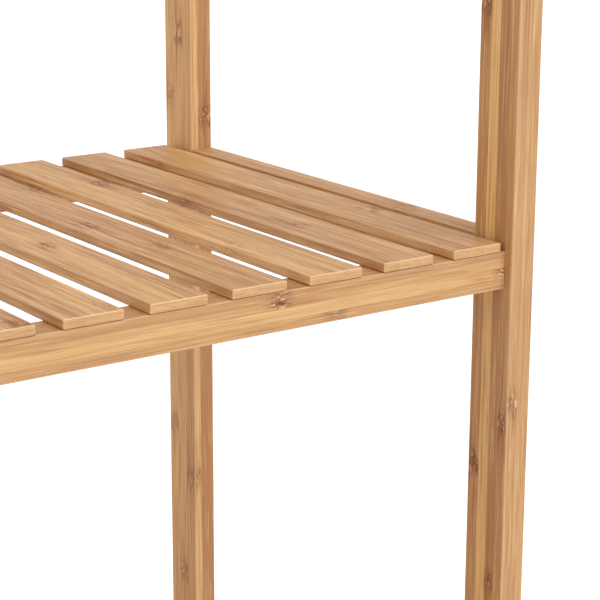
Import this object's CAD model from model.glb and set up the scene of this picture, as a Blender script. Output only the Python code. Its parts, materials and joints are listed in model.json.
"""Free-standing bamboo towel rack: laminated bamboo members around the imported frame, metal and
plastic on the fasteners and glides, a pale floor, soft studio light and the camera."""

import json
import math
import random

import bmesh
import bpy
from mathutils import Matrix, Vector


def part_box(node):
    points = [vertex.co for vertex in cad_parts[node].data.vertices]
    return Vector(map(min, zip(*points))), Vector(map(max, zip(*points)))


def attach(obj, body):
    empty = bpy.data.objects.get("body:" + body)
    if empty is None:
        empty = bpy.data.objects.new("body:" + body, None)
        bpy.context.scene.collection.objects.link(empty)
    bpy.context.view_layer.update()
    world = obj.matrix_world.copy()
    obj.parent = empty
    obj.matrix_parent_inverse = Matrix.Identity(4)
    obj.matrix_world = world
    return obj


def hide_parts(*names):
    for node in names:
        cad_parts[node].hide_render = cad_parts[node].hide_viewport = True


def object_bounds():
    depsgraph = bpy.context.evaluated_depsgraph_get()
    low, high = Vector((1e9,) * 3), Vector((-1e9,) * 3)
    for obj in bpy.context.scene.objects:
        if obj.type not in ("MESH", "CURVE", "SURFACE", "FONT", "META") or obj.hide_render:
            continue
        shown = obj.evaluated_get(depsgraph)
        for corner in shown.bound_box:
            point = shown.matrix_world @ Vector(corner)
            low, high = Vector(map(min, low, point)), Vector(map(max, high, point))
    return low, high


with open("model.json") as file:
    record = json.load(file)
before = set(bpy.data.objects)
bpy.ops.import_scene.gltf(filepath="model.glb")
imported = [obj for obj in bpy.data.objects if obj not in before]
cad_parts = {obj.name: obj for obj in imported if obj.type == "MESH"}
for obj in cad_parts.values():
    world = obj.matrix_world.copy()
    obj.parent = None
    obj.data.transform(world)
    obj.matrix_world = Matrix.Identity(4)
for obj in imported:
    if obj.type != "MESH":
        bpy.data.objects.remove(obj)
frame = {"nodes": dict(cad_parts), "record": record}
cad_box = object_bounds()

MM = 0.001
BODY = "root"
ROWS = ("front", "back")
SIDES = ("left", "right")
LEVELS = ("lower", "upper", "top")
SHELVES = ("lower", "upper")
BARS = ("front", "middle", "back")


# ---------------------------------------------------------------- camera

# angles in degrees, the lens and its sensor in millimetres, the rest in metres
CAMERA_AZIMUTH = -35.47
CAMERA_ELEVATION = 15.25
CAMERA_ROLL = 0.25
CAMERA_DISTANCE = 0.8926
CAMERA_LENS = 116.4
SENSOR_WIDTH = 36.0
AIM_RIGHT_OF_MIDDLE = 0.0768
AIM_BEFORE_RAIL = 0.0171
NEAREST_SEEN = 0.01
FARTHEST_SEEN = 100


def make_camera():
    """Looks down at the front right corner of the upper shelf, from the left of the front. It aims
    at a point level with the top of the front rail, and a little before the rail's face."""
    low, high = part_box("upper_front_rail")
    aim = Vector((AIM_RIGHT_OF_MIDDLE, low.y - AIM_BEFORE_RAIL, high.z))
    a, e = math.radians(CAMERA_AZIMUTH), math.radians(CAMERA_ELEVATION)
    back = Vector((math.sin(a) * math.cos(e), -math.cos(a) * math.cos(e), math.sin(e)))
    level_right = Vector((0, 0, 1)).cross(back).normalized()
    level_up = back.cross(level_right)
    roll = math.radians(CAMERA_ROLL)
    right = level_right * math.cos(roll) + level_up * math.sin(roll)
    up = back.cross(right)
    data = bpy.data.cameras.new("camera")
    data.sensor_width = SENSOR_WIDTH
    data.lens = CAMERA_LENS
    data.clip_start = NEAREST_SEEN
    data.clip_end = FARTHEST_SEEN
    camera = bpy.data.objects.new("camera", data)
    bpy.context.scene.collection.objects.link(camera)
    for column, axis in enumerate((right, up, back)):
        for row in range(3):
            camera.matrix_world[row][column] = axis[row]
    camera.matrix_world.translation = aim + back * CAMERA_DISTANCE
    bpy.context.scene.camera = camera


make_camera()


# ---------------------------------------------------------------- node helpers

# a Mix node's sockets for colours: its factor, the two colours, and the result
MIX_FACTOR = 0
MIX_FIRST = 6
MIX_SECOND = 7
MIX_RESULT = 2


class Nodes:
    """Adds shader nodes to one material and links them."""

    def __init__(self, name):
        self.material = bpy.data.materials.new(name)
        self.material.use_nodes = True
        self.tree = self.material.node_tree
        self.tree.nodes.clear()

    def put(self, socket, value):
        if isinstance(value, bpy.types.NodeSocket):
            self.tree.links.new(value, socket)
        else:
            socket.default_value = value

    def add(self, kind, inputs=None, **settings):
        node = self.tree.nodes.new(kind)
        for key, value in settings.items():
            setattr(node, key, value)
        for key, value in (inputs or {}).items():
            self.put(node.inputs[key], value)
        return node

    def number(self, attribute):
        return self.add("ShaderNodeAttribute", attribute_name=attribute).outputs["Fac"]

    def place(self):
        """Where a point is on the rack, in metres."""
        return self.add("ShaderNodeTexCoord").outputs["Object"]

    def stretched(self, vector, scale):
        return self.add("ShaderNodeMapping", {"Vector": vector, "Scale": scale}).outputs[0]

    def split(self, vector):
        return self.add("ShaderNodeSeparateXYZ", {0: vector}).outputs

    def math(self, operation, a, b=0.0, c=0.0, clamp=False):
        inputs = {0: a, 1: b, 2: c}
        return self.add("ShaderNodeMath", inputs, operation=operation, use_clamp=clamp).outputs[0]

    def times(self, a, b, clamp=False):
        return self.math("MULTIPLY", a, b, clamp=clamp)

    def vector(self, x, y, z):
        return self.add("ShaderNodeCombineXYZ", {0: x, 1: y, 2: z}).outputs[0]

    def noise(self, vector, detail=2.0, roughness=0.5, scale=1.0):
        inputs = {"Vector": vector, "Scale": scale, "Detail": detail, "Roughness": roughness}
        return self.add("ShaderNodeTexNoise", inputs).outputs["Fac"]

    def remap(self, value, low, high, to_low=0.0, to_high=1.0, smooth=True):
        inputs = {0: value, 1: low, 2: high, 3: to_low, 4: to_high}
        kind = "SMOOTHSTEP" if smooth else "LINEAR"
        return self.add("ShaderNodeMapRange", inputs, interpolation_type=kind).outputs[0]

    def mix(self, factor, a, b, blend="MIX"):
        inputs = {MIX_FACTOR: factor, MIX_FIRST: a, MIX_SECOND: b}
        node = self.add("ShaderNodeMix", inputs, data_type="RGBA", blend_type=blend)
        return node.outputs[MIX_RESULT]

    def bump(self, height, distance, strength):
        inputs = {"Height": height, "Distance": distance, "Strength": strength}
        return self.add("ShaderNodeBump", inputs).outputs[0]

    def finish(self, inputs):
        shader = self.add("ShaderNodeBsdfPrincipled", inputs)
        output = self.add("ShaderNodeOutputMaterial")
        self.tree.links.new(shader.outputs[0], output.inputs[0])
        return self.material


# ---------------------------------------------------------------- bamboo

RUST = (0.385, 0.152, 0.046, 1)
DEEP = (0.465, 0.231, 0.087, 1)
PALE = (0.74, 0.43, 0.168, 1)
GOLD = (0.92, 0.58, 0.205, 1)
LINE_BROWN = (0.30, 0.104, 0.038, 1)
BROWN_KNUCKLE = (0.41, 0.24, 0.185, 1)
SOFT_KNUCKLE = (0.56, 0.39, 0.27, 1)
KNUCKLE_STAIN = (0.72, 0.52, 0.40, 1)
PALE_CURL = (0.86, 0.545, 0.28, 1)
CUT_PALE = (0.68, 0.39, 0.165, 1)
CUT_BROWN = (0.56, 0.30, 0.12, 1)
CUT_DOT = (0.36, 0.17, 0.075, 1)
RUBBED_EDGE = (0.88, 0.62, 0.36, 1)
ARRIS_STAIN = (0.50, 0.33, 0.25, 1)

KNUCKLE_WAVER = 12 * MM
KNUCKLE_BEND = 3.6 * MM
BEND_BEGINS = 10 * MM
BEND_FULL = 1 * MM
FIBRE_RELIEF = 0.12 * MM
VEIN_RELIEF = -0.35
KNUCKLE_SINK = 0.6
BUMP_STRENGTH = 0.5
ROUGHNESS = (0.40, 0.54)
KNUCKLE_ROUGHNESS = 0.12
SPECULAR = 0.42
LAYER_CELLS = (60.0, 900.0)
DOT_CELLS = 1700.0
DOT_SQUASH = 0.6

# how much of each colour shows where its mark is full
LINE_SHARE = 0.62
CURL_SHARE = 0.8
DOT_SHARE = 0.25
END_SHARE = 0.85
RUB_SHARE = 0.55
STAIN_SHARE = 0.9
# the noise's values, or a dot's radius in cells, where each mark begins and is full
LINE_RANGE = (0.55, 0.66)
RUN_RANGE = (0.42, 0.62)
LAYER_RANGE = (0.35, 0.65)
DOT_RANGE = (0.32, 0.12)
ROUGH_RANGE = (0.25, 0.75)

# the noise's cells in a metre along and across the grain, and its slip from the other patterns
WAVER_NOISE = (40.0, 190.0, 31.7)
EDDY_NOISE = (230.0, 330.0, 53.0)
# the same for each pattern of streaks, and then the noise's detail and roughness
STREAKS = {
    "drift": (3.0, 60.0, 19.1, 2.0, 0.55),
    "vein": (8.0, 330.0, 7.3, 2.0, 0.55),
    "fibre": (24.0, 800.0, 0.0, 3.0, 0.65),
    "line": (17.0, 1200.0, 71.0, 1.0, 0.55),
    "run": (7.0, 150.0, 29.0, 2.0, 0.55),
    "blotch": (90.0, 330.0, 43.0, 2.0, 0.55),
    "smear": (22.0, 300.0, 61.0, 2.0, 0.55),
    "tuft": (130.0, 650.0, 83.0, 2.0, 0.55),
}
# each tint: its streaks, the noise's values where it begins and is full, its share, its colour
TINTS = (
    ("drift", 0.32, 0.68, 0.35, (0.52, 0.27, 0.104, 1)),
    ("vein", 0.50, 0.68, 0.38, (0.45, 0.192, 0.070, 1)),
    ("vein", 0.46, 0.32, 0.30, (0.80, 0.50, 0.212, 1)),
    ("fibre", 0.50, 0.68, 0.58, (0.40, 0.158, 0.058, 1)),
    ("fibre", 0.46, 0.32, 0.50, (0.86, 0.56, 0.252, 1)),
)
# each mark of a knuckle: its streaks, how near to the knuckle it begins and is full, and the
# noise's values where it begins and is full
KNUCKLE_MARKS = {
    "trail": ("smear", 36 * MM, 3 * MM, 0.44, 0.64),
    "patch": ("blotch", 11 * MM, 2 * MM, 0.40, 0.62),
    "curl": ("line", 9 * MM, 2 * MM, 0.47, 0.58),
    "pale_curl": ("tuft", 6 * MM, 1 * MM, 0.52, 0.62),
}


class Bamboo(Nodes):
    """Laminated bamboo. The grain attribute runs (along, across, through) each piece in metres, and
    each lamination strip carries its own seed, tone, and place and spacing of its knuckles.
    knuckle, depth and curls are the knuckles' tint, strength and share of pale fibres; fineness and
    contrast, the fibres'."""

    def __init__(self, name, knuckle, depth, curls=0.85, fineness=1.0, contrast=1.0):
        super().__init__(name)
        self.knuckle = knuckle
        self.curls = curls
        self.fineness = fineness
        self.contrast = contrast
        grain = self.add("ShaderNodeAttribute", attribute_name="grain").outputs["Vector"]
        self.along, self.across, self.through = self.split(grain)
        self.seed = self.number("strip_seed")
        self.shift = self.times(self.seed, 40.0)
        self.gap = self.knuckle_gap()
        self.strength = self.times(self.number("knot_depth"), depth)
        self.bent = self.bent_sides()
        self.streaks = {key: self.pattern(*values) for key, values in STREAKS.items()}

    def grain_place(self, lengthwise, crosswise, slip, sides=None):
        """A point's place in a noise, where each strip has a part of its own."""
        x = self.math("MULTIPLY_ADD", self.along, lengthwise, self.math("ADD", self.shift, slip))
        across, through = sides or (self.across, self.through)
        crosswise *= self.fineness
        return self.vector(x, self.times(across, crosswise), self.times(through, crosswise))

    def knuckle_gap(self):
        """The distance along the strip to its nearest knuckle, whose line wavers from side to side."""
        spacing = self.number("knot_step")
        waver = self.math("SUBTRACT", self.noise(self.grain_place(*WAVER_NOISE), 1.0), 0.5)
        wavering = self.math("MULTIPLY_ADD", waver, KNUCKLE_WAVER, self.along)
        from_knuckle = self.math("SUBTRACT", wavering, self.number("knot_at"))
        spacings = self.math("DIVIDE", from_knuckle, spacing)
        to_nearest = self.math("SUBTRACT", spacings, self.math("ROUND", spacings))
        return self.math("ABSOLUTE", self.times(to_nearest, spacing))

    def bent_sides(self):
        """The places across and through for the fibres, which run straight but bend at a knuckle."""
        inputs = {"Vector": self.grain_place(*EDDY_NOISE), "Scale": 1.0, "Detail": 1.0}
        eddy = self.add("ShaderNodeTexNoise", inputs).outputs["Color"]
        eddies = self.add("ShaderNodeSeparateColor", {0: eddy}).outputs
        bend = self.remap(self.gap, BEND_BEGINS, BEND_FULL, 0.0, KNUCKLE_BEND)
        return [
            self.math("MULTIPLY_ADD", self.math("SUBTRACT", eddies[k], 0.5), bend, side)
            for k, side in enumerate((self.across, self.through))
        ]

    def pattern(self, lengthwise, crosswise, slip, detail, roughness):
        place = self.grain_place(lengthwise, crosswise, slip, self.bent)
        return self.noise(place, detail, roughness)

    def strip_colour(self):
        """A strip's own colour, from its tone: -1, rust, through 0, deep, and 1, pale, to 2, gold."""
        tone = self.number("strip_tone")
        colour = RUST
        for low, following in ((-1.0, DEEP), (0.0, PALE), (1.0, GOLD)):
            share = self.remap(tone, low, low + 1.0, smooth=False)
            colour = self.mix(share, colour, following)
        return colour

    def with_fibres(self, base):
        """Adds drifts, veins and fibres, and the fine dark lines that come in runs."""
        for key, begin, full, share, colour in TINTS:
            amount = self.remap(self.streaks[key], begin, full, 0.0, share * self.contrast)
            base = self.mix(amount, base, colour)
        share = LINE_SHARE * self.contrast
        lines = self.remap(self.streaks["line"], *LINE_RANGE, 0.0, share)
        runs = self.remap(self.streaks["run"], *RUN_RANGE)
        return self.mix(self.times(lines, runs), base, LINE_BROWN)

    def knuckle_mark(self, name):
        key, reach, full_at, begin, full = KNUCKLE_MARKS[name]
        near = self.remap(self.gap, reach, full_at)
        return self.times(near, self.remap(self.streaks[key], begin, full))

    def knuckle_darkness(self):
        """Dark patches at a knuckle, and the dark curved fibres round it."""
        curls = self.times(self.knuckle_mark("curl"), CURL_SHARE)
        darkest = self.math("MAXIMUM", self.knuckle_mark("patch"), curls)
        return self.times(darkest, self.strength, clamp=True)

    def with_knuckles(self, base, dark):
        """Adds each knuckle's stain along the strip, its darkness, and a few pale curls."""
        stain = self.times(self.knuckle_mark("trail"), self.strength, clamp=True)
        pale_share = self.times(self.strength, self.curls)
        pale = self.times(self.knuckle_mark("pale_curl"), pale_share, clamp=True)
        base = self.mix(stain, base, KNUCKLE_STAIN, "MULTIPLY")
        base = self.mix(dark, base, self.knuckle, "MULTIPLY")
        return self.mix(pale, base, PALE_CURL)

    def with_cut_ends(self, base):
        """Cut ends show the layers, and the fibre bundles as fine dots."""
        dot_place = self.vector(self.times(self.across, DOT_SQUASH), self.through, self.seed)
        inputs = {"Vector": dot_place, "Scale": DOT_CELLS}
        dots = self.add("ShaderNodeTexVoronoi", inputs).outputs["Distance"]
        sides = zip((self.across, self.through), LAYER_CELLS)
        layer_place = self.vector(*(self.times(side, cells) for side, cells in sides), self.shift)
        layers = self.noise(layer_place)
        cut = self.mix(self.remap(layers, *LAYER_RANGE), CUT_PALE, CUT_BROWN)
        cut = self.mix(self.remap(dots, *DOT_RANGE, 0.0, DOT_SHARE), cut, CUT_DOT)
        return self.mix(self.times(self.number("end_grain"), END_SHARE), base, cut)

    def with_eased_edges(self, base):
        """Eased edges are rubbed paler where they are marked above 0, and stained below 0."""
        edge = self.number("eased_edge")
        rub = self.remap(edge, 0.0, 1.0, 0.0, RUB_SHARE)
        stain = self.remap(edge, 0.0, -1.0, 0.0, STAIN_SHARE)
        return self.mix(stain, self.mix(rub, base, RUBBED_EDGE), ARRIS_STAIN, "MULTIPLY")

    def surface(self):
        """The whole material. Dark knuckles are rougher, and lie a little lower."""
        fibre, vein = self.streaks["fibre"], self.streaks["vein"]
        dark = self.knuckle_darkness()
        base = self.with_knuckles(self.with_fibres(self.strip_colour()), dark)
        base = self.with_eased_edges(self.with_cut_ends(base))
        fibre_rough = self.remap(fibre, *ROUGH_RANGE, *ROUGHNESS, smooth=False)
        relief = self.math("MULTIPLY_ADD", vein, VEIN_RELIEF, fibre)
        height = self.math("SUBTRACT", relief, self.times(dark, KNUCKLE_SINK))
        return self.finish({
            "Base Color": base,
            "Roughness": self.math("MULTIPLY_ADD", dark, KNUCKLE_ROUGHNESS, fibre_rough),
            "Specular IOR Level": SPECULAR,
            "Normal": self.bump(height, FIBRE_RELIEF, BUMP_STRENGTH),
        })


# ---------------------------------------------------------------- metal, plastic and dowels

ZINC = (0.62, 0.63, 0.65, 1)
BRASS = (0.60, 0.47, 0.24, 1)
PLAIN_STEEL = (0.46, 0.46, 0.47, 1)
MOTTLE_SHADE = 0.72
GLIDE_WHITE = (0.74, 0.70, 0.62, 1)
GLIDE_WORN = (0.40, 0.37, 0.32, 1)
BEECH = (0.62, 0.45, 0.27, 1)
BEECH_FLECK = (0.44, 0.28, 0.15, 1)


def metal(name, colour, rough_low, rough_high, scratch_scale):
    """Plated or machined metal, with fine scratches and a mottled polish."""
    n = Nodes(name)
    place = n.place()
    mottle = n.noise(place, 4.0, 0.6, 420.0)
    scratches = n.noise(n.stretched(place, (1.0, 1.0, 14.0)), 3.0, 0.6, scratch_scale)
    dull = tuple(c * MOTTLE_SHADE for c in colour[:3]) + (1,)
    return n.finish({
        "Base Color": n.mix(n.remap(mottle, 0.4, 0.7, 0.0, 0.55), colour, dull),
        "Metallic": 1.0,
        "Roughness": n.remap(scratches, 0.3, 0.7, rough_low, rough_high),
        "Normal": n.bump(scratches, 0.02 * MM, 0.4),
    })


def glide_plastic():
    """Off-white moulded plastic, with a fine spark-eroded texture and scuffs low down."""
    n = Nodes("glide_plastic")
    place = n.place()
    grit = n.noise(place, 3.0, 0.6, 2600.0)
    scuff = n.noise(place, 4.0, 0.65, 260.0)
    low_down = n.remap(n.split(place)["Z"], 1.6 * MM, 0.2 * MM)
    worn = n.times(low_down, n.remap(scuff, 0.42, 0.66))
    return n.finish({
        "Base Color": n.mix(worn, GLIDE_WHITE, GLIDE_WORN),
        "Roughness": n.remap(grit, 0.3, 0.7, 0.48, 0.62),
        "Normal": n.bump(grit, 0.03 * MM, 0.5),
    })


def dowel_wood():
    """Raw beech: short flecks along the dowel's length, which runs front to back."""
    n = Nodes("dowel_wood")
    fleck = n.noise(n.stretched(n.place(), (1.0, 0.08, 1.0)), 3.0, 0.6, 1400.0)
    return n.finish({
        "Base Color": n.mix(n.remap(fleck, 0.4, 0.7), BEECH, BEECH_FLECK),
        "Roughness": n.remap(fleck, 0.3, 0.7, 0.55, 0.7),
        "Normal": n.bump(fleck, 0.05 * MM, 0.5),
    })


MATERIALS = {
    "bamboo_frame": Bamboo("bamboo_frame", BROWN_KNUCKLE, 0.85, fineness=1.25).surface(),
    "bamboo_rail": Bamboo(
        "bamboo_rail", BROWN_KNUCKLE, 0.9, fineness=1.4, contrast=0.85
    ).surface(),
    "bamboo_slat": Bamboo(
        "bamboo_slat", SOFT_KNUCKLE, 0.75, curls=0.5, fineness=0.8, contrast=1.1
    ).surface(),
    "bamboo_bar": Bamboo("bamboo_bar", BROWN_KNUCKLE, 0.8).surface(),
    "zinc_steel": metal("zinc_steel", ZINC, 0.24, 0.42, 900.0),
    "nut_brass": metal("nut_brass", BRASS, 0.30, 0.48, 700.0),
    "brad_steel": metal("brad_steel", PLAIN_STEEL, 0.35, 0.55, 1500.0),
    "glide_plastic": glide_plastic(),
    "dowel_wood": dowel_wood(),
}


# ---------------------------------------------------------------- laminated members

AXES = {"x": (0, 1, 2), "y": (1, 0, 2), "z": (2, 1, 0)}
BEVEL_SEGMENTS = 3
BEVEL_PROFILE = 0.5
CORNER_ANGLE = math.radians(45)
SMOOTH_ANGLE = math.radians(35)
HOLE_SIDES = 48

# the least and the most of what is drawn at random for a strip: its knuckles' spacing, in mm, and
# depth, and its tone
KNUCKLE_SPACINGS = (210, 320)
KNUCKLE_DEPTHS = (0.3, 1.0)
DRAWN_TONES = (0.1, 0.9)

FACE_MARKS = (
    "strip_seed", "strip_tone", "knot_at", "knot_step", "knot_depth", "eased_edge", "end_grain",
)
# an eased edge's mark: rubbed pale on the upward edges at a member's ends, less so elsewhere, and
# stained on the underside of a slat, where the finish gathers
RUBBED = 1.0
LESS_RUBBED = 0.5
STAINED = -1.0
UNMARKED = 0.0
# how much of a face's unit normal lies along one axis, for a narrow face, a flat face, a face that
# looks up or down, and a cut end
NARROW_FACE = 0.7
FLAT_FACE = 0.995
TILTED_FACE = 0.2
END_FACE = 0.9
# how far in from a side an eased edge's faces can lie, as a multiple of the easing
EDGE_REACH = 1.01


class Strips:
    """How one member is glued up: the widths of its strips across and through the section, each
    strip's tone from -1, rust, through 0, deep, to 1, pale, and 2, gold, and its knuckles: (place,
    spacing, depth), in mm along the member from its middle. On the narrow faces, the tone differs
    by side_tone, and the knuckles, which run aslant, lie side_slip mm further along."""

    def __init__(
        self, name, across, through, tones=None, knots=None, side_tone=0.0, side_slip=0.0,
        depths=KNUCKLE_DEPTHS,
    ):
        rng = random.Random(name)
        self.across = self.edges(across)
        self.through = self.edges(through)
        self.side_tone = side_tone
        self.side_slip = side_slip * MM
        self.cells = {}
        for i in range(len(across)):
            for j in range(len(through)):
                step = rng.uniform(*KNUCKLE_SPACINGS)
                knot = (rng.uniform(-0.5, 0.5) * step, step, rng.uniform(*depths))
                tone, seed = rng.uniform(*DRAWN_TONES), rng.random()
                tone = (tones or {}).get((i, j), tone)
                at, step, depth = (knots or {}).get((i, j), knot)
                self.cells[i, j] = (seed, tone, at * MM, step * MM, depth)

    @staticmethod
    def edges(widths):
        """Widths to running edges, from 0 to 1."""
        total, running = sum(widths), [0.0]
        for width in widths:
            running.append(running[-1] + width / total)
        return running

    def cell(self, a, t, narrow_face):
        """The strip at a and t, which run from 0 to 1 across and through the section."""
        i = sum(a > edge for edge in self.across[1:-1])
        j = sum(t > edge for edge in self.through[1:-1])
        seed, tone, at, step, depth = self.cells[i, j]
        if narrow_face:
            tone += self.side_tone
            at += self.side_slip
        return seed, tone, at, step, depth


def add_attribute(mesh, name, domain, values, kind="FLOAT"):
    layer = mesh.attributes.new(name, kind, domain)
    layer.data.foreach_set("vector" if kind == "FLOAT_VECTOR" else "value", values)


def edge_mark(normal, inset, ease, stained_below):
    """An eased edge's mark. inset is how far in from the member's sides the face lies."""
    slanted = max(abs(c) for c in normal) < FLAT_FACE
    if not slanted or sum(i < EDGE_REACH * ease for i in inset) < 2:
        return UNMARKED
    if stained_below and normal.z < -TILTED_FACE:
        return STAINED
    return RUBBED if inset[0] < ease and normal.z > TILTED_FACE else LESS_RUBBED


def mark_grain(mesh, lo, hi, axis, strips, ease, stained_below=False):
    """Stores each point's place in the piece, and each face's strip, eased edge and cut end, on the
    finished mesh."""
    u, a, t = AXES[axis]
    centre = (lo + hi) / 2
    size = hi - lo
    grain = []
    for vertex in mesh.vertices:
        local = vertex.co - centre
        grain += [local[u], local[a], local[t]]
    add_attribute(mesh, "grain", "POINT", grain, "FLOAT_VECTOR")
    rows = []
    for face in mesh.polygons:
        place = face.center - lo
        narrow_face = abs(face.normal[a]) > NARROW_FACE
        cell = strips.cell(place[a] / size[a], place[t] / size[t], narrow_face)
        inset = [min(place[k], size[k] - place[k]) for k in (u, a, t)]
        cut_end = abs(face.normal[u]) > END_FACE and inset[0] < ease
        rows.append((*cell, edge_mark(face.normal, inset, ease, stained_below), float(cut_end)))
    for key, values in zip(FACE_MARKS, zip(*rows)):
        add_attribute(mesh, key, "FACE", values)


def grid_box(lo, hi, axis, strips):
    """A box cut into a grid at the strips' glue lines, so that each face lies in one strip."""
    u, a, t = AXES[axis]
    size = hi - lo
    bm = bmesh.new()
    bmesh.ops.create_cube(bm, size=1.0)
    for vertex in bm.verts:
        for k in range(3):
            vertex.co[k] = lo[k] if vertex.co[k] < 0 else hi[k]
    for k, edges in ((a, strips.across), (t, strips.through)):
        for edge in edges[1:-1]:
            place, normal = Vector(lo), Vector((0, 0, 0))
            place[k] = lo[k] + edge * size[k]
            normal[k] = 1.0
            geometry = bm.verts[:] + bm.edges[:] + bm.faces[:]
            bmesh.ops.bisect_plane(bm, geom=geometry, plane_co=place, plane_no=normal)
    return bm


def cut_holes(piece, cutters):
    """Takes turned cutters out of a piece, and applies the result."""
    tools = []
    for cutter in cutters:
        tool = new_object("cutter", cutter)
        modifier = piece.modifiers.new("hole", "BOOLEAN")
        modifier.object = tool
        modifier.operation = "DIFFERENCE"
        modifier.solver = "EXACT"
        tools.append(tool)
    evaluated = piece.evaluated_get(bpy.context.evaluated_depsgraph_get())
    mesh = bpy.data.meshes.new_from_object(evaluated)
    piece.modifiers.clear()
    piece.data = mesh
    for tool in tools:
        data = tool.data
        bpy.data.objects.remove(tool)
        bpy.data.meshes.remove(data)


def turned(profile, start, direction, segments=HOLE_SIDES):
    """A solid of revolution: profile is (distance along direction from start, radius) points."""
    direction = direction.normalized()
    side = direction.orthogonal().normalized()
    other = direction.cross(side)
    bm = bmesh.new()
    rings = []
    for distance, radius in profile:
        ring = []
        for k in range(segments):
            angle = 2 * math.pi * k / segments
            spoke = side * math.cos(angle) + other * math.sin(angle)
            ring.append(bm.verts.new(start + direction * distance + spoke * radius))
        rings.append(ring)
    for ring, following in zip(rings, rings[1:]):
        for k in range(segments):
            j = (k + 1) % segments
            bm.faces.new((ring[k], ring[j], following[j], following[k]))
    bm.faces.new(rings[0][::-1])
    bm.faces.new(rings[-1])
    bmesh.ops.recalc_face_normals(bm, faces=bm.faces)
    return bm


def new_object(name, bm):
    mesh = bpy.data.meshes.new(name)
    bm.to_mesh(mesh)
    bm.free()
    piece = bpy.data.objects.new(name, mesh)
    bpy.context.scene.collection.objects.link(piece)
    return piece


def dress(piece, node, slot):
    """Smooths the eased edges only, and puts the piece in its node's place."""
    piece.data.shade_smooth()
    piece.data.set_sharp_from_angle(angle=SMOOTH_ANGLE)
    weighted = piece.modifiers.new("flat_faces_stay_flat", "WEIGHTED_NORMAL")
    weighted.keep_sharp = True
    piece.data.materials.clear()
    piece.data.materials.append(MATERIALS[slot])
    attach(piece, BODY)
    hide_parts(node)


def laminated(node, axis, strips, slot, ease, cutters, stained_below=False):
    """One straight member: glued-up strips with eased edges, cut where its fasteners go."""
    lo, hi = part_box(node)
    bm = grid_box(lo, hi, axis, strips)
    corners = [edge for edge in bm.edges if edge.calc_face_angle() > CORNER_ANGLE]
    shape = {"segments": BEVEL_SEGMENTS, "profile": BEVEL_PROFILE, "affect": "EDGES"}
    bmesh.ops.bevel(bm, geom=corners, offset=ease, **shape)
    piece = new_object(node + "_wood", bm)
    cut_holes(piece, cutters)
    mark_grain(piece.data, lo, hi, axis, strips, ease, stained_below)
    dress(piece, node, slot)


# ---------------------------------------------------------------- fastener holes

BORE_D = 6.5 * MM
BORE_LENGTH = 20 * MM
COUNTERBORE_D = 10.5 * MM
COUNTERBORE_DEPTH = 5 * MM
PILOT_D = 4.2 * MM
SEAT_D = 8.4 * MM
SEAT_DEPTH = 3.2 * MM
SEAT_LIP = 0.2 * MM
NUT_POCKET_D = 10.2 * MM
NUT_LENGTH = 14 * MM
NUT_CLEARANCE = 0.1 * MM
NUT_SETBACK = 24 * MM
BRAD_HOLE_SIDES = 16
# how far outside the wood a cutter starts, and how near two points are to count as one
PAST = 1 * MM
SAME_POINT = 0.001 * MM

# each kind of pin, by its CAD node: the axis that it runs along, and its hole's diameter, spare
# length at each end, and number of sides
PIN_HOLES = {
    "rail_bolts": ("x", BORE_D, 3 * MM, HOLE_SIDES),
    "bar_screws": ("x", 4 * MM, 0.0, HOLE_SIDES),
    "side_rail_dowels": ("y", 6.2 * MM, 0.1 * MM, HOLE_SIDES),
    "slat_brads": ("z", 1.2 * MM, 0.0, BRAD_HOLE_SIDES),
    "glide_nails": ("z", 2 * MM, 1 * MM, HOLE_SIDES),
}

OUTWARD = {"left": Vector((-1, 0, 0)), "right": Vector((1, 0, 0))}


def middle(node):
    lo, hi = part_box(node)
    return (lo + hi) / 2


def outer_face(node, side):
    """The centre of a member's outer face, on the left or the right of the rack."""
    place = middle(node)
    place.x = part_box(node)[1].x if side == "right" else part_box(node)[0].x
    return place


def bolt_holes(row, side):
    """Counterbored holes through a post, one at each long rail's end."""
    face = outer_face(f"post_{row}_{side}", side)
    profile = [
        (-PAST, COUNTERBORE_D / 2),
        (COUNTERBORE_DEPTH, COUNTERBORE_D / 2),
        (COUNTERBORE_DEPTH, BORE_D / 2),
        (BORE_LENGTH, BORE_D / 2),
    ]
    for shelf in SHELVES:
        start = Vector((face.x, face.y, middle(f"{shelf}_{row}_rail").z))
        yield turned(profile, start, -OUTWARD[side])


def screw_seats(side):
    """Countersunk holes through a top side rail, one at each towel bar."""
    face = outer_face(f"top_side_rail_{side}", side)
    profile = [
        (-PAST, SEAT_D / 2),
        (SEAT_LIP, SEAT_D / 2),
        (SEAT_LIP + SEAT_DEPTH, PILOT_D / 2),
        (BORE_LENGTH, PILOT_D / 2),
    ]
    for bar in BARS:
        centre = middle(f"towel_bar_{bar}")
        yield turned(profile, Vector((face.x, centre.y, centre.z)), -OUTWARD[side])


def nut_pockets(node):
    """Upright blind holes in a long rail's underside."""
    lo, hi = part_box(node)
    depth = (hi.z - lo.z + NUT_LENGTH) / 2 + NUT_CLEARANCE
    profile = [(-PAST, NUT_POCKET_D / 2), (depth, NUT_POCKET_D / 2)]
    for x in (lo.x + NUT_SETBACK, hi.x - NUT_SETBACK):
        start = Vector((x, (lo.y + hi.y) / 2, lo.z))
        yield turned(profile, start, Vector((0, 0, 1)))


def solids(node):
    """The lowest and highest corners of each separate solid in a CAD node."""
    bm = bmesh.new()
    bm.from_mesh(frame["nodes"][node].data)
    bmesh.ops.remove_doubles(bm, verts=bm.verts, dist=SAME_POINT)
    unseen = set(bm.verts)
    boxes = []
    while unseen:
        reached = [unseen.pop()]
        for vertex in reached:
            for edge in vertex.link_edges:
                neighbour = edge.other_vert(vertex)
                if neighbour in unseen:
                    unseen.remove(neighbour)
                    reached.append(neighbour)
        low = [min(vertex.co[k] for vertex in reached) for k in range(3)]
        high = [max(vertex.co[k] for vertex in reached) for k in range(3)]
        boxes.append((low, high))
    bm.free()
    return sorted(boxes)


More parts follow.
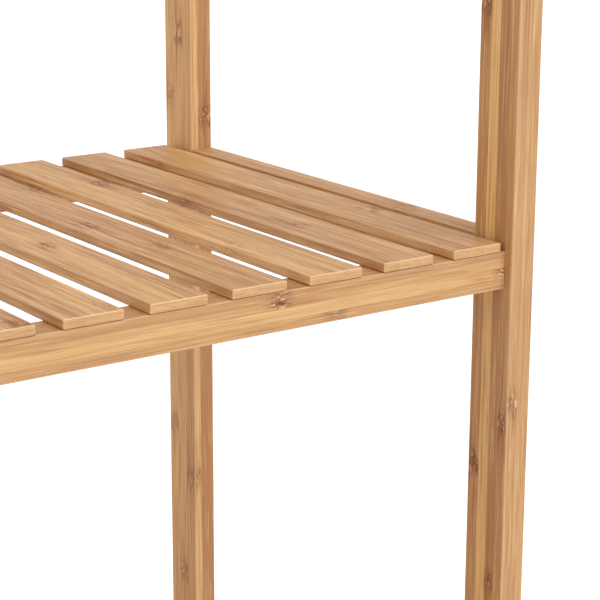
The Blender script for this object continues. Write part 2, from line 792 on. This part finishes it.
PINS = {kind: solids(kind) for kind in PIN_HOLES}


def pin_holes(node, *kinds):
    """Round holes in a member, where pins of these kinds run into it."""
    lo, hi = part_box(node)
    for kind in kinds:
        axis, diameter, spare, sides = PIN_HOLES[kind]
        along = "xyz".index(axis)
        direction = Vector([float(k == along) for k in range(3)])
        for low, high in PINS[kind]:
            if all(low[k] < hi[k] and high[k] > lo[k] for k in range(3)):
                start = (Vector(low) + Vector(high)) / 2
                start[along] = low[along] - spare
                length = high[along] - low[along] + 2 * spare
                profile = [(0, diameter / 2), (length, diameter / 2)]
                yield turned(profile, start, direction, sides)


# ---------------------------------------------------------------- the rack's pieces

FRAME_EASE = 1.0 * MM
RAIL_EASE = 0.6 * MM
SLAT_EASE = 0.5 * MM
BAR_EASE = 0.3 * MM
BAR_SIDES = 64
WIDTH_SPREAD = 0.25
SIDE_TONE = 0.35

# The posts and the front rail in view, strip by strip: a post's strips are numbered from its front
# and then from its left, and a rail's from its front and then from its bottom.
MEMBER_STRIPS = {
    "post_front_right": Strips(
        "post_front_right", [7.0, 7.1, 7.2, 8.7], [6.5, 8.5],
        tones={(0, 0): 0.2, (1, 0): -0.2, (2, 0): 1.5, (3, 0): 0.2, (0, 1): 0.3},
        knots={
            (0, 0): (-84, 400, 1.0), (1, 0): (-173, 400, 0.9), (2, 0): (300, 600, 0.5),
            (3, 0): (-111, 246, 1.1), (0, 1): (-330, 600, 0.8),
        },
        side_tone=0.15, side_slip=13,
    ),
    "post_back_right": Strips(
        "post_back_right", [9.2, 10.3, 10.5], [5, 10],
        tones={(0, 0): 0.75, (1, 0): 1.1, (2, 0): 1.35, (0, 1): -0.7},
        knots={
            (0, 0): (-205, 400, 0.7), (1, 0): (85, 360, 1.0), (2, 0): (-173, 218, 0.65),
            (0, 1): (34, 400, 1.1),
        },
        side_tone=SIDE_TONE,
    ),
    "upper_front_rail": Strips(
        "upper_front_rail", [1, 1], [5.3, 5.7, 3.2, 4.8],
        tones={(0, 0): 0.45, (0, 1): 0.9, (0, 2): 0.7, (0, 3): 0.3, (1, 3): 0.4},
        knots={
            (0, 0): (110, 300, 0.5), (0, 1): (214, 350, 0.9), (0, 2): (77, 400, 1.1),
            (0, 3): (79, 400, 1.0),
        },
    ),
}
# The slats in view, whose strips are numbered from the left. Widths, tones and knuckles that are
# not given here are drawn at random.
SLAT_WIDTHS = {"upper_slat_07": (0.6, 1.2, 1.2, 1.0)}
SLAT_TONES = {
    "upper_slat_04": (0.4, 0.4, 0.35),
    "upper_slat_05": (0.4, 0.6, 0.85),
    "upper_slat_06": (0.75, 1.0, 0.5),
    "upper_slat_07": (0.35, 0.35, 0.4, 0.3),
    "upper_slat_08": (0.95, 0.85, 0.65),
    "upper_slat_09": (0.2, 0.5, 0.65),
    "upper_slat_10": (0.55, 0.4, 0.65),
}
SLAT_KNUCKLE_DEPTHS = (0.1, 0.55)
SLAT_KNOTS = {
    "upper_slat_04": {(2, 0): (-157, 300, 1.0)},
    "upper_slat_06": {(1, 0): (-37, 250, 1.1)},
    "upper_slat_07": {(1, 0): (-10, 400, 1.1), (2, 0): (-69, 400, 0.9), (3, 0): (88, 400, 1.0)},
    "upper_slat_08": {(2, 0): (81, 300, 1.3)},
    "upper_slat_09": {(0, 0): (20, 300, 0.8), (1, 0): (-69, 300, 0.9)},
    "upper_slat_10": {(0, 0): (119, 300, 0.6), (2, 0): (-62, 300, 1.1)},
}


def uneven_widths(node, *counts):
    """A list of slightly uneven strip widths for each of these counts of strips."""
    rng = random.Random(node + "_widths")
    low, high = 1 - WIDTH_SPREAD, 1 + WIDTH_SPREAD
    return [[rng.uniform(low, high) for _ in range(count)] for count in counts]


def make_posts():
    for row in ROWS:
        for side in SIDES:
            node = f"post_{row}_{side}"
            drawn = Strips(node, *uneven_widths(node, 4), [1, 1], side_tone=SIDE_TONE)
            strips = MEMBER_STRIPS.get(node, drawn)
            holes = [*bolt_holes(row, side), *pin_holes(node, "side_rail_dowels", "glide_nails")]
            laminated(node, "z", strips, "bamboo_frame", FRAME_EASE, holes)


def make_side_rails():
    for level in LEVELS:
        for side in SIDES:
            node = f"{level}_side_rail_{side}"
            strips = Strips(node, [1, 1], *uneven_widths(node, 3))
            seats = screw_seats(side) if level == "top" else ()
            holes = [*seats, *pin_holes(node, "side_rail_dowels")]
            laminated(node, "y", strips, "bamboo_frame", RAIL_EASE, holes)


def make_long_rails():
    for shelf in SHELVES:
        for row in ROWS:
            node = f"{shelf}_{row}_rail"
            strips = MEMBER_STRIPS.get(node, Strips(node, *uneven_widths(node, 2, 3)))
            holes = [*nut_pockets(node), *pin_holes(node, "rail_bolts", "slat_brads")]
            laminated(node, "x", strips, "bamboo_rail", RAIL_EASE, holes)


def make_slats():
    for shelf in SHELVES:
        nodes = sorted(name for name in frame["nodes"] if name.startswith(f"{shelf}_slat_"))
        for node in nodes:
            widths = SLAT_WIDTHS.get(node, *uneven_widths(node, 3))
            tones = {(i, 0): tone for i, tone in enumerate(SLAT_TONES.get(node, ()))}
            knots = SLAT_KNOTS.get(node)
            strips = Strips(node, widths, [1], tones, knots, depths=SLAT_KNUCKLE_DEPTHS)
            holes = pin_holes(node, "slat_brads")
            laminated(node, "y", strips, "bamboo_slat", SLAT_EASE, holes, stained_below=True)


def make_towel_bars():
    """Round bars turned from glued-up square blanks."""
    for bar in BARS:
        node = f"towel_bar_{bar}"
        lo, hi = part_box(node)
        radius = (hi.z - lo.z) / 2
        length = hi.x - lo.x
        profile = [
            (0, radius - BAR_EASE),
            (BAR_EASE, radius),
            (length - BAR_EASE, radius),
            (length, radius - BAR_EASE),
        ]
        start = Vector((lo.x, (lo.y + hi.y) / 2, (lo.z + hi.z) / 2))
        piece = new_object(node + "_wood", turned(profile, start, Vector((1, 0, 0)), BAR_SIDES))
        cut_holes(piece, pin_holes(node, "bar_screws"))
        strips = Strips(node, *uneven_widths(node, 2, 3))
        mark_grain(piece.data, lo, hi, "x", strips, BAR_EASE)
        dress(piece, node, "bamboo_bar")


def finish_cad_nodes():
    """The fasteners and glides keep their CAD shapes, and get their materials."""
    slots = {s["node"]: s["material_slot"] for s in frame["record"]["subparts"]}
    for node, piece in frame["nodes"].items():
        slot = slots[node]
        if slot.startswith("bamboo"):
            continue
        if not piece.material_slots:
            piece.data.materials.append(MATERIALS[slot])
        for material_slot in piece.material_slots:
            material_slot.material = MATERIALS[slot]


make_posts()
make_side_rails()
make_long_rails()
make_slats()
make_towel_bars()
finish_cad_nodes()


# ---------------------------------------------------------------- floor and light

FLOOR_SIZE = 15.0
FLOOR_CELLS = 8
FLOOR_GREY = (0.79, 0.79, 0.785, 1)
FLOOR_SPECKLE = (0.815, 0.815, 0.81, 1)
FLOOR_LIFT = 0.42
WHITE = (1, 1, 1, 1)
WARM = (1.0, 0.9, 0.8)
COOL = (0.2, 0.45, 1.0)

# each light's place, in metres, its strength, and its spread in degrees or its size in metres
KEY_PLACE = (0.7, -2.1, 2.3)
KEY_LIGHT = 1.38
KEY_SPREAD = 50
FRONT_PLACE = (0, -2.5, 0.6)
FRONT_LIGHT = 0.8
FRONT_SPREAD = 60
FILL_PLACE = (-2.4, -0.6, 1.6)
FILL_LIGHT = 8
FILL_SIZE = 1.6
WORLD_LIGHT = 0.75
WORLD_LOOK = 1.0


def make_floor():
    """A pale matt floor. It looks a little brighter to the camera than the light it gives back, so
    that it fades into the white of the studio."""
    bm = bmesh.new()
    bmesh.ops.create_grid(bm, x_segments=FLOOR_CELLS, y_segments=FLOOR_CELLS, size=FLOOR_SIZE)
    floor = new_object("floor", bm)
    n = Nodes("pale_floor")
    speckle = n.noise(n.place(), 3.0, 0.6, 240.0)
    seen = n.add("ShaderNodeLightPath").outputs["Is Camera Ray"]
    material = n.finish({
        "Base Color": n.mix(n.remap(speckle, 0.35, 0.65), FLOOR_GREY, FLOOR_SPECKLE),
        "Roughness": 0.8,
        "Specular IOR Level": 0.1,
        "Emission Color": WHITE,
        "Emission Strength": n.times(seen, FLOOR_LIFT),
    })
    floor.data.materials.append(material)


def aim_light(name, kind, place, energy, colour=(1, 1, 1), **settings):
    """A light that points at the middle of the rack."""
    data = bpy.data.lights.new(name, kind)
    data.energy = energy
    data.color = colour
    for key, value in settings.items():
        setattr(data, key, value)
    light = bpy.data.objects.new(name, data)
    bpy.context.scene.collection.objects.link(light)
    target = (cad_box[0] + cad_box[1]) / 2
    light.location = place
    light.rotation_mode = "QUATERNION"
    light.rotation_quaternion = (Vector(target) - Vector(place)).to_track_quat("-Z", "Y")


def make_world(lighting, seen):
    """Even white surroundings: one strength for the light that they give, one for how they look."""
    world = bpy.data.worlds.new("studio")
    bpy.context.scene.world = world
    world.use_nodes = True
    tree = world.node_tree
    tree.nodes.clear()
    path = tree.nodes.new("ShaderNodeLightPath")
    chooser = tree.nodes.new("ShaderNodeMixShader")
    output = tree.nodes.new("ShaderNodeOutputWorld")
    tree.links.new(path.outputs["Is Camera Ray"], chooser.inputs[0])
    for socket, strength in ((1, lighting), (2, seen)):
        background = tree.nodes.new("ShaderNodeBackground")
        background.inputs["Color"].default_value = WHITE
        background.inputs["Strength"].default_value = strength
        tree.links.new(background.outputs[0], chooser.inputs[socket])
    tree.links.new(chooser.outputs[0], output.inputs[0])


make_floor()
make_world(lighting=WORLD_LIGHT, seen=WORLD_LOOK)
aim_light("key", "SUN", KEY_PLACE, KEY_LIGHT, angle=math.radians(KEY_SPREAD))
aim_light("front", "SUN", FRONT_PLACE, FRONT_LIGHT, COOL, angle=math.radians(FRONT_SPREAD))
aim_light("fill", "AREA", FILL_PLACE, FILL_LIGHT, WARM, shape="DISK", size=FILL_SIZE)

scene = bpy.context.scene
scene.view_settings.view_transform = "Standard"
scene.view_settings.look = "None"
scene.view_settings.exposure = 0.0
scene.view_settings.gamma = 1.0
